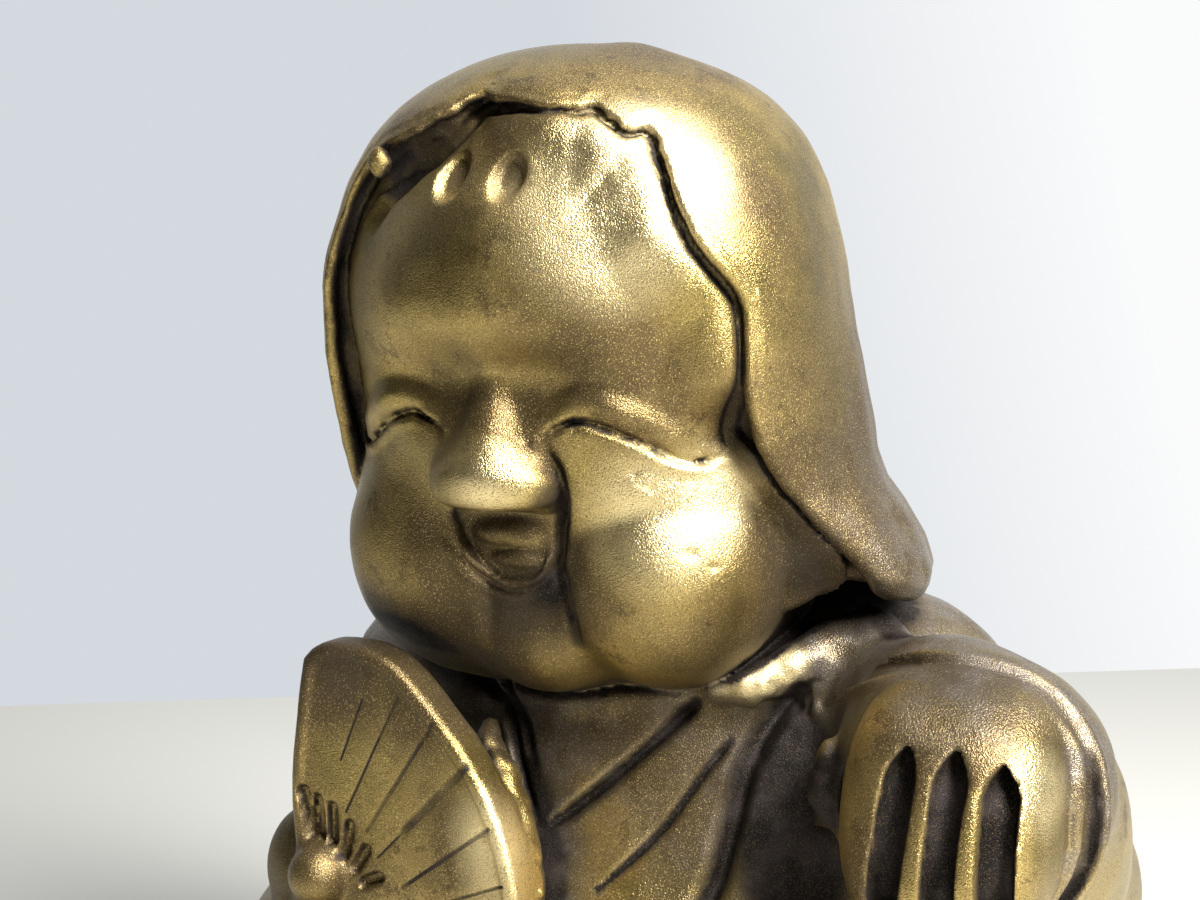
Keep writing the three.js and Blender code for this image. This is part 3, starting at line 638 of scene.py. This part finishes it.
def sampled():
    """The figure's distances on a fine grid, worked out only near its skin."""
    low = np.array(LOWEST)
    counts = np.ceil((np.array(HIGHEST) - low) / (FINE * COARSE)).astype(int)
    grid_axes = [low[k] + FINE * COARSE * (np.arange(counts[k]) + 0.5) for k in range(3)]
    centres = np.stack(np.meshgrid(*grid_axes, indexing="ij"), -1).reshape(-1, 3).astype(np.float32)
    rough = figure(centres).reshape(counts)
    fine = rough.repeat(COARSE, 0).repeat(COARSE, 1).repeat(COARSE, 2)
    # The skin can pass through a cell that lies within half a diagonal of it. The rest is spare,
    # because a distance is only nearly true.
    near = np.argwhere(np.abs(rough) < 0.5 * math.sqrt(3) * FINE * COARSE * 1.3 + 1.5)
    inner = np.stack(np.meshgrid(*[np.arange(COARSE)] * 3, indexing="ij"), -1).reshape(-1, 3)
    for batch in np.array_split(near, max(1, len(near) // 6000)):
        cells = (batch[:, None] * COARSE + inner[None]).reshape(-1, 3)
        points = (low + FINE * (cells + 0.5)).astype(np.float32)
        fine[tuple(cells.T)] = figure(points)
    return low + 0.5 * FINE, np.clip(fine, -3 * FINE, 3 * FINE)


corner, distances = sampled()
grid = openvdb.FloatGrid(float(3 * FINE))
grid.copyFromArray(distances)
points, quads = grid.convertToQuads(0.0)
points = (points * FINE + corner).astype(np.float32)

mesh = bpy.data.meshes.new("figure_skin")
mesh.vertices.add(len(points))
mesh.vertices.foreach_set("co", (points * 0.001).ravel())
mesh.loops.add(4 * len(quads))
mesh.loops.foreach_set("vertex_index", quads.ravel().astype(np.int32))
mesh.polygons.add(len(quads))
mesh.polygons.foreach_set("loop_start", np.arange(0, 4 * len(quads), 4, dtype=np.int32))
mesh.update(calc_edges=True)
mesh.validate()
raw = bpy.data.objects.new("figure_raw", mesh)
bpy.context.scene.collection.objects.link(raw)
thin = raw.modifiers.new("thin", "DECIMATE")
thin.ratio = min(1.0, MOST_TRIANGLES / (2 * len(quads)))
bpy.context.view_layer.update()
ready = raw.evaluated_get(bpy.context.evaluated_depsgraph_get())
skin = bpy.data.meshes.new_from_object(ready)
skin.name = "otafuku_skin"
cast = bpy.data.objects.new("otafuku_cast", skin)
bpy.context.scene.collection.objects.link(cast)
bpy.data.objects.remove(raw)
bpy.data.meshes.remove(mesh)
for face in skin.polygons:
    face.use_smooth = True

corners = np.zeros(3 * len(skin.vertices), np.float32)
skin.vertices.foreach_get("co", corners)
corners = corners.reshape(-1, 3) * 1000
normals = np.zeros(3 * len(skin.vertices), np.float32)
skin.vertex_normals.foreach_get("vector", normals)
normals = normals.reshape(-1, 3)


def note(name, values):
    """Keeps a value for each point of the skin, for the finish to read."""
    attribute = skin.attributes.new(name, "FLOAT", "POINT")
    attribute.data.foreach_set("value", values.astype(np.float32))


def openness(reach):
    """1 in the open, less where metal stands close in front of the skin."""
    return figure((corners + reach * normals).astype(np.float32)) / reach


# The narrow, middling and wide hollows of the skin are darkened by soot and painted shade, the wide ones
# by tarnish too, and its ridges are rubbed.
here = figure(corners.astype(np.float32))
crease = eased(1 - (openness(2.0) - here / 2.0), 0.25, 0.8)
hollow = eased(1 - openness(7.0), 0.35, 0.85)
valley = np.clip(1 - openness(18.0), 0, 1)
ridge = np.clip(1 + figure((corners - 1.6 * normals).astype(np.float32)) / 1.6, 0, 1)
skin_place = tuple(np.ascontiguousarray(corners[:, k]) for k in range(3))
skin_x, skin_y, skin_z = skin_place
on_face = skin_y < -40
# Where painted shade darkens the skin: the channel under the hair's edge, the robe's lines, the brow dots,
# the fold beside the mouth, the grooves between the fingers and the cuff's channel.
hair_depth, behind_edge = hair_place(skin_place)
under_lip = eased(hair_depth, 1.6, 3.0) * eased(hair_depth, 13, 9) * eased(behind_edge, -3.2, -0.8)
under_lip *= eased(skin_z, 168, 178) * eased(behind_edge, 14, 8)
lines = sum(stroke(skin_x, skin_z, line, width * 0.8) for line, width, groove in ROBE_LINES)
lines = lines * eased(skin_y, -5, -20)
dot_x, dot_z = BROW_DOT["place"]
dots = sum(spot((skin_x, skin_z), (side * dot_x, dot_z), 3.6) for side in (1, -1)) * on_face
folds = eased(stroke(skin_x, skin_z, CHEEK_CREASE, 3.4), 0, 0.8) * on_face
gouged = eased(hand(skin_place), 1.3, 0.7) * eased(finger_block(skin_place), -0.6, -1.5)
in_channel = eased(chain_of(skin_place, CUFF_CHANNEL), 1.4, 0)

# Patches of the skin, each a place, a reach and a strength. A tarnished one adds tarnish and painted shade
# to what the valleys hold, or takes from it where its strength is less than 0, which paints light there.
TARNISHED_AND_SHADED = [
    ((0, -62, 190), 12, 0.4), ((24, -57, 195), 9, 0.3), ((-22, -57, 194), 10, 0.35),
    ((-13, -48, 158), 9, 0.6), ((2, -50, 147), 16, 1.0), ((12, -50, 152), 7, 0.8),
    ((-2, -45, 136), 10, 0.4), ((-20, -58, 240), 12, 0.6), ((2, -58, 243), 8, 0.4),
    ((92, -50, 142), 14, 0.9), ((-38, -62, 134), 12, 0.9), ((58, -30, 155), 11, 0.8),
    ((52, -38, 168), 7, 0.6), ((66, -20, 150), 14, 0.5), ((72, -5, 160), 24, 0.6),
    ((44, -45, 133), 14, 0.5), ((55, -10, 190), 30, 0.45), ((20, -20, 262), 34, 0.4),
    ((-60, 0, 125), 34, 0.7), ((-46, -50, 82), 14, 0.9), ((9, -57, 186), 7, 0.6),
    ((-9, -57, 186), 8, 0.7), ((13, -50, 174), 5, 0.8), ((84, -20, 140), 26, 0.5),
    ((50, -37, 177), 8, 0.6), ((57, -31, 166), 9, 0.8), ((90, -58, 136), 9, 0.8),
    ((86, -66, 118), 14, 0.35), ((14, -66, 207), 14, 0.6), ((29, -58, 202), 14, 0.65),
    ((-16, -63, 222), 15, -0.6), ((-21, -54, 167), 10, 0.6), ((-13, -52, 151), 9, 0.9),
    ((11, -59, 177), 5, 0.8), ((27, -53, 179), 9, 0.75), ((24, -53, 150), 10, 0.5),
    ((3, -62, 185), 5, 0.6), ((-15, -61, 127), 9, 0.9), ((-7, -61, 100), 10, 0.6),
    ((-35, -61, 91), 8, 0.7), ((19, -30, 120), 10, 0.8), ((30, -30, 117), 10, 0.9),
    ((40, -27, 114), 12, 1.0), ((33, -35, 99), 11, 0.6), ((97, -57, 134), 10, 0.9),
    ((102, -63, 114), 12, 0.5), ((78, -65, 106), 10, 0.9), ((48, -38, 228), 11, 0.8),
]
# Rubbed patches are partly worn brass and partly painted highlights and painted light, on the forehead,
# hair, cheek, nose, outer finger, fan's rim and collar roll.
RUBBED_AND_HIGHLIGHT = [
    ((26, -59, 226), 16, 1.3), ((33, -48, 234), 11, 0.6), ((32, -50, 166), 13, 0.9),
    ((3, -67, 173), 8, 0.8), ((109, -54, 124), 7, 1.0), ((2, -62, 102), 9, 0.9),
    ((3, -62, 86), 9, 0.5), ((42, -32, 131), 8, 0.6), ((47, -25, 133), 6, 0.9),
    ((42, -41, 171), 7, 0.8), ((-15, -63, 223), 14, 0.45),
]
# Sooted patches are grime and painted shade together.
SOOTED_AND_SHADED = [
    ((55, -26, 104), 15, 1.2), ((50, -21, 119), 8, 0.8), ((52, -31, 90), 13, 1.0),
    ((60, -36, 108), 9, 0.8), ((-50, -46, 84), 14, 0.95), ((66.5, -48, 117), 9, 1.2),
    ((56, -28, 150), 8, 0.6), ((74, -45, 116), 7, 1.1), ((59, -30, 124), 7, 0.6),
    ((-30, -50, 130), 12, 0.7), ((10, -49, 151), 6, 0.8), ((11.5, -49, 160), 5, 0.6),
    ((12, -51, 174), 5.5, 0.75), ((-18, -57, 239), 10, 0.5), ((-38, -62, 134), 10, 0.5),
    ((92, -52, 140), 11, 0.6), ((1, -50, 145), 11, 0.8), ((86, -38, 143), 11, 0.5),
    ((100, -37, 139), 8, 0.35), ((-14, -46, 142), 8, 0.4), ((52, -33, 162), 6, 0.55),
    ((50, -36, 172), 5, 0.2), ((54, -29, 152), 7, 0.55), ((41, -27, 114), 13, 0.6),
    ((24, -30, 120), 10, 0.35), ((71, -41, 131), 8, 0.7),
]
# Single places, each with its reach: the open chest beside the collar, the hair's foot over the left
# shoulder, the cuff above the hand, and the mouth.
CHEST = ((28, -32, 112), 24)
LOBE = ((74, 0, 155), 28)
BY_HAND = ((92, -50, 144), 14)
MOUTH = ((0, -50, 159), 11)


def worn(form, within):
    """1 where a form is the outermost, 0 where another covers it."""
    return eased(np.abs(form(skin_place)), within, 0.4 * within)


def spots(places):
    """How strongly patches are felt together."""
    return sum(strength * spot(skin_place, centre, reach) for centre, reach, strength in places)


cloth = worn(robe, 3)
leaf = worn(fan, 2) * (skin_x < 20)
chest, lobe, by_hand, mouth = (spot(skin_place, *row) for row in (CHEST, LOBE, BY_HAND, MOUTH))
# Soot and painted shade together: grime in the hollows, and the shade of the hollows, creases, grooves,
# lines and the hair's undercut, painted near black.
note("soot_and_shade", np.minimum(1, np.maximum.reduce([
    hollow * (1 - 0.6 * mouth), crease * (1 - 0.5 * mouth), 0.75 * under_lip,
    cloth * eased(lines, 0.02, 0.5), gouged, 0.6 * eased(valley, 0.4, 0.85), spots(SOOTED_AND_SHADED),
    0.85 * in_channel, 0.5 * dots, 0.85 * folds,
])))
note("ridge", ridge)
# Tarnish together with painted shade in the wide valleys and the brow dots.
note("tarnish_and_shade", 0.1 + 0.5 * cloth + 0.4 * leaf + valley ** 1.5 + 0.8 * dots + spots(TARNISHED_AND_SHADED))
note("greyed", np.minimum(cloth * (1 - 0.8 * chest) + lobe + by_hand, 1))
note("brushed", eased(finger_block(skin_place), 0.8, 0.3) * eased(skin_z, 128, 136))
# Worn brass together with painted highlights.
note("rubbed_and_highlight", spots(RUBBED_AND_HIGHLIGHT))
note("leaf", leaf * eased(-skin_y, 60, 61))

# The finish: bare brass rubbed bright on the high places, with painted highlights among them, dulled to
# olive and brown by age and by painted shade in the wide hollows, nearly black in the deep folds from soot
# and painted shade, with a sand-cast grain holding painted glints, small stains and fine file strokes.

metal = bpy.data.materials.new("aged_brass")
metal.use_nodes = True
nodes, links = metal.node_tree.nodes, metal.node_tree.links
shader = nodes["Principled BSDF"]


def made(kind, **values):
    """A node with some of its inputs set."""
    node = nodes.new(kind)
    for key, value in values.items():
        node.inputs[key].default_value = value
    return node


def reading(name):
    """What a note says here."""
    node = nodes.new("ShaderNodeAttribute")
    node.attribute_name = name
    return node.outputs["Fac"]


def maths(kind, a, b, limit=False):
    node = nodes.new("ShaderNodeMath")
    node.operation = kind
    node.use_clamp = limit
    for socket, value in zip(node.inputs, (a, b)):
        if isinstance(value, (int, float)):
            socket.default_value = value
        else:
            links.new(value, socket)
    return node.outputs[0]


def ranged(value, low, high, to_low=0.0, to_high=1.0):
    """A value moved from one range to another, and kept inside it."""
    node = nodes.new("ShaderNodeMapRange")
    links.new(value, node.inputs["Value"])
    for key, number in (("From Min", low), ("From Max", high), ("To Min", to_low), ("To Max", to_high)):
        node.inputs[key].default_value = number
    return node.outputs[0]


def mixed(share, a, b):
    node = nodes.new("ShaderNodeMix")
    node.data_type = "RGBA"
    links.new(share, node.inputs[0])
    for socket, value in zip(node.inputs[6:8], (a, b)):
        if isinstance(value, tuple):
            socket.default_value = (*value, 1)
        else:
            links.new(value, socket)
    return node.outputs[2]


where = nodes.new("ShaderNodeNewGeometry").outputs["Position"]


def noise(scale, detail, roughness=0.55, at=None):
    node = made("ShaderNodeTexNoise", Scale=scale, Detail=detail, Roughness=roughness)
    links.new(at or where, node.inputs["Vector"])
    return node.outputs["Fac"]


def vector_maths(kind, a, b, out="Vector"):
    node = nodes.new("ShaderNodeVectorMath")
    node.operation = kind
    for socket, value in zip(node.inputs, (a, b)):
        if isinstance(value, tuple):
            socket.default_value = value
        else:
            links.new(value, socket)
    return node.outputs[out]


def line_gap(start, end):
    """How far the skin is from a straight line drawn on the fan's face, in metres."""
    a = (0.001 * start[0], 0, 0.001 * start[1])
    along = (0.001 * (end[0] - start[0]), 0, 0.001 * (end[1] - start[1]))
    length = along[0] ** 2 + along[2] ** 2
    rel = vector_maths("SUBTRACT", flat_place, a)
    t = maths("DIVIDE", vector_maths("DOT_PRODUCT", rel, along, "Value"), length, limit=True)
    scaled = nodes.new("ShaderNodeVectorMath")
    scaled.operation = "SCALE"
    scaled.inputs[0].default_value = along
    links.new(t, scaled.inputs["Scale"])
    off = vector_maths("SUBTRACT", rel, scaled.outputs["Vector"])
    return vector_maths("LENGTH", off, (0, 0, 0), "Value")


# Pale brass for worn places and for painted highlights.
PALE_BRASS_AND_HIGHLIGHT = (0.84, 0.68, 0.36)
# The spark brass is the colour of painted glints.
GLINT_BRASS = (0.82, 0.61, 0.26)
GOLD_BRASS = (0.58, 0.425, 0.15)
OLIVE_BRASS = (0.32, 0.24, 0.082)
BROWN_BRASS = (0.18, 0.12, 0.055)
TARNISH_BROWN = (0.092, 0.063, 0.03)
TARNISH_GREY = (0.17, 0.153, 0.145)
# The soot colours serve grime and painted shade together.
SOOT_AND_SHADE_BLACK = (0.006, 0.005, 0.0045)
SOOT_AND_SHADE_PURPLE = (0.026, 0.0205, 0.02)

# Bare brass in soft clouds of gold, olive and brown.
cloudy = noise(45, 4)
broad = noise(14, 3)
grain = noise(3300, 1, 0.7)
patchy = noise(120, 3)
ridge_here, soot_and_shade, tarnish_and_shade = (reading(name) for name in ("ridge", "soot_and_shade", "tarnish_and_shade"))
tone = mixed(ranged(cloudy, 0.4, 0.62), OLIVE_BRASS, GOLD_BRASS)
tone = mixed(ranged(broad, 0.46, 0.66, 0, 0.6), tone, BROWN_BRASS)
tone = mixed(ranged(ridge_here, 0.15, 0.5, 0, 0.85), tone, GOLD_BRASS)
# The tarnish and its painted shade are brown on the body and greyer on the cloth.
uneven = maths("MULTIPLY", maths("SUBTRACT", maths("ADD", cloudy, broad), 1.0), 2.3)
dull = ranged(maths("ADD", tarnish_and_shade, uneven), 0.1, 0.95)
greys = maths("MULTIPLY", reading("greyed"), ranged(patchy, 0.4, 0.6, 0.3, 1.0))
dull_tone = mixed(greys, TARNISH_BROWN, TARNISH_GREY)
tone = mixed(maths("MULTIPLY", dull, 0.9), tone, dull_tone)
# Small brown stains with crisp edges lie here and there on the brass.
stains = maths("MULTIPLY", ranged(noise(170, 6, 0.75), 0.545, 0.585, 0, 0.62), ranged(cloudy, 0.45, 0.57))
tone = mixed(stains, tone, TARNISH_BROWN)
# Pale brass where it is worn, which also paints highlights in the same patches.
tone = mixed(ranged(reading("rubbed_and_highlight"), 0.15, 0.75, 0, 0.9), tone, PALE_BRASS_AND_HIGHLIGHT)
# The fan's pleats and rib slots are thin dark lines: where each ends, and where it is full.
flat_place = vector_maths("MULTIPLY", where, (1, 0, 1))
pleats = 0.0
for start, end, width in PLEAT_LINES:
    pleats = maths("MAXIMUM", pleats, ranged(line_gap(start, end), 0.0008 * width, 0.00035 * width))
for start, end in RIB_SLOTS:
    pleats = maths("MAXIMUM", pleats, ranged(line_gap(start, end), 0.0016, 0.0009))
pleats = maths("MULTIPLY", pleats, reading("leaf"))
pleats = maths("MULTIPLY", pleats, ranged(patchy, 0.3, 0.5, 0.5, 1.0))
soot_and_shade = maths("MAXIMUM", soot_and_shade, pleats)
# The soot and painted shade go nearly black, purple in places.
soot_and_shade_tone = mixed(ranged(patchy, 0.42, 0.62), SOOT_AND_SHADE_BLACK, SOOT_AND_SHADE_PURPLE)
tone = mixed(soot_and_shade, tone, soot_and_shade_tone)
# The sand's grain leaves brown specks everywhere, and bright specks painted as glints where there is no
# soot or painted shade.
tone = mixed(ranged(grain, 0.46, 0.28, 0, 0.75), tone, TARNISH_BROWN)
painted_glints = maths("MULTIPLY", ranged(grain, 0.58, 0.74, 0, 0.6), maths("SUBTRACT", 1.0, soot_and_shade))
tone = mixed(painted_glints, tone, GLINT_BRASS)
links.new(tone, shader.inputs["Base Color"])
shader.inputs["Specular IOR Level"].default_value = 0.25
covered = maths("ADD", maths("MULTIPLY", dull, 0.5), soot_and_shade)
links.new(ranged(covered, 0, 1.3, 1.0, 0.5), shader.inputs["Metallic"])
rough = maths("ADD", ranged(cloudy, 0.35, 0.65, 0.30, 0.38), maths("MULTIPLY", soot_and_shade, 0.22), limit=True)
links.new(rough, shader.inputs["Roughness"])
# Fine upright strokes of a file on the back of the hand.
stretch = made("ShaderNodeMapping", Scale=(1, 1, 0.06))
links.new(where, stretch.inputs["Vector"])
strokes = noise(2200, 1, at=stretch.outputs["Vector"])
filed = maths("MULTIPLY", maths("MULTIPLY", reading("brushed"), strokes), 1.4)
bump = made("ShaderNodeBump", Strength=0.6, Distance=0.00028)
links.new(maths("ADD", grain, filed), bump.inputs["Height"])
links.new(bump.outputs["Normal"], shader.inputs["Normal"])
skin.materials.clear()
skin.materials.append(metal)
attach(cast, "root")
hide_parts("otafuku_figure")

# The stand: a plain pale table with a pale wall behind, soft light from a window at the upper right,
# a little from above and from the wall, and a camera close in front of the figure's left shoulder.


def plain(name, colour, roughness):
    material = bpy.data.materials.new(name)
    material.use_nodes = True
    paint = material.node_tree.nodes["Principled BSDF"]
    paint.inputs["Base Color"].default_value = (*colour, 1)
    paint.inputs["Roughness"].default_value = roughness
    return material


def board(name, verts, colour, roughness):
    sheet = bpy.data.meshes.new(name)
    sheet.from_pydata(verts, [], [(0, 1, 2, 3)])
    top = bpy.data.objects.new(name, sheet)
    bpy.context.scene.collection.objects.link(top)
    sheet.materials.append(plain(name + "_paint", colour, roughness))


# A point of the table's far edge, the way the edge runs, and the way from it to the near side.
TABLE_EDGE = Vector((-0.457, 0.265, 0))
TABLE_RUN = Vector((0.814, 0.581, 0))
TABLE_DEPTH = 1.8 * Vector((0.581, -0.814, 0))
left_end, right_end = TABLE_EDGE - 1.0 * TABLE_RUN, TABLE_EDGE + 2.0 * TABLE_RUN
table_corners = [left_end, left_end + TABLE_DEPTH, right_end + TABLE_DEPTH, right_end]
board("table", table_corners, (0.5, 0.5, 0.47), 0.55)

# The lamps stand round a place at this height, and all point at the face.
MIDDLE_HEIGHT = 0.15
FACE = Vector((0, -0.03, 0.18))


def around(azimuth, elevation, reach):
    """A place round the figure's middle, with azimuth 0 straight in front."""
    a, e = math.radians(azimuth), math.radians(elevation)
    across = reach * math.sin(a) * math.cos(e)
    ahead = -reach * math.cos(a) * math.cos(e)
    return Vector((across, ahead, MIDDLE_HEIGHT + reach * math.sin(e)))


def lamp(name, place_at, width, height, glow, colour):
    light = bpy.data.lights.new(name, "AREA")
    light.shape = "RECTANGLE"
    light.size, light.size_y = width, height
    light.energy = glow * math.pi * width * height
    light.color = colour
    holder = bpy.data.objects.new(name, light)
    holder.location = place_at
    holder.rotation_euler = (FACE - place_at).to_track_quat("-Z", "Y").to_euler()
    holder.visible_camera = False
    bpy.context.scene.collection.objects.link(holder)


lamp("window", around(67, 42, 0.95), width=0.30, height=0.58, glow=66, colour=(1, 0.985, 0.96))
lamp("ceiling", around(80, 75, 0.9), width=0.3, height=0.3, glow=8, colour=(1, 0.98, 0.95))
world = bpy.data.worlds.new("studio")
world.use_nodes = True
sky, wires = world.node_tree.nodes, world.node_tree.links
direction = sky.new("ShaderNodeTexCoord").outputs["Generated"]


def shaded(side, far_at, far, near_at, near):
    """The room's colour, which goes from far to near as the direction turns towards a side."""
    facing = sky.new("ShaderNodeVectorMath")
    facing.operation = "DOT_PRODUCT"
    wires.new(direction, facing.inputs[0])
    facing.inputs[1].default_value = side
    ramp = sky.new("ShaderNodeValToRGB")
    wires.new(facing.outputs["Value"], ramp.inputs["Fac"])
    for element, at, colour in zip(ramp.color_ramp.elements, (far_at, near_at), (far, near)):
        element.position = at
        element.color = (*colour, 1)
    return ramp.outputs["Color"]


# The pale wall and its light lie behind the figure, and the room in front of it is dim. The wall
# itself is brighter towards the window.
WALL_SIDE, WINDOW_SIDE = (-0.15, 0.93, 0.30), (0.86, 0.46, 0.22)
glowing = shaded(WALL_SIDE, 0.15, (0.08, 0.078, 0.075), 0.8, (0.80, 0.83, 0.88))
painted = shaded(WINDOW_SIDE, 0, (0.66, 0.695, 0.74), 0.25, (0.96, 0.965, 0.97))
seen_wall = sky.new("ShaderNodeBackground")
wires.new(painted, seen_wall.inputs["Color"])
wires.new(glowing, sky["Background"].inputs["Color"])
by_eye = sky.new("ShaderNodeLightPath").outputs["Is Camera Ray"]
either = sky.new("ShaderNodeMixShader")
wires.new(by_eye, either.inputs["Fac"])
wires.new(sky["Background"].outputs[0], either.inputs[1])
wires.new(seen_wall.outputs[0], either.inputs[2])
wires.new(either.outputs[0], sky["World Output"].inputs["Surface"])
bpy.context.scene.world = world
bpy.context.scene.view_settings.view_transform = "Standard"

AZIMUTH, ELEVATION, DISTANCE = math.radians(28), math.radians(7), 0.43
AIM = Vector((0, -0.013, 0.1736))
level = math.cos(ELEVATION)
back = Vector((math.sin(AZIMUTH) * level, -math.cos(AZIMUTH) * level, math.sin(ELEVATION)))
lens = bpy.data.cameras.new("camera")
lens.sensor_width = 36
lens.lens = 60
lens.clip_start = 0.01
camera = bpy.data.objects.new("camera", lens)
camera.location = AIM + DISTANCE * back
camera.rotation_euler = back.to_track_quat("Z", "Y").to_euler()
bpy.context.scene.collection.objects.link(camera)
bpy.context.scene.camera = camera
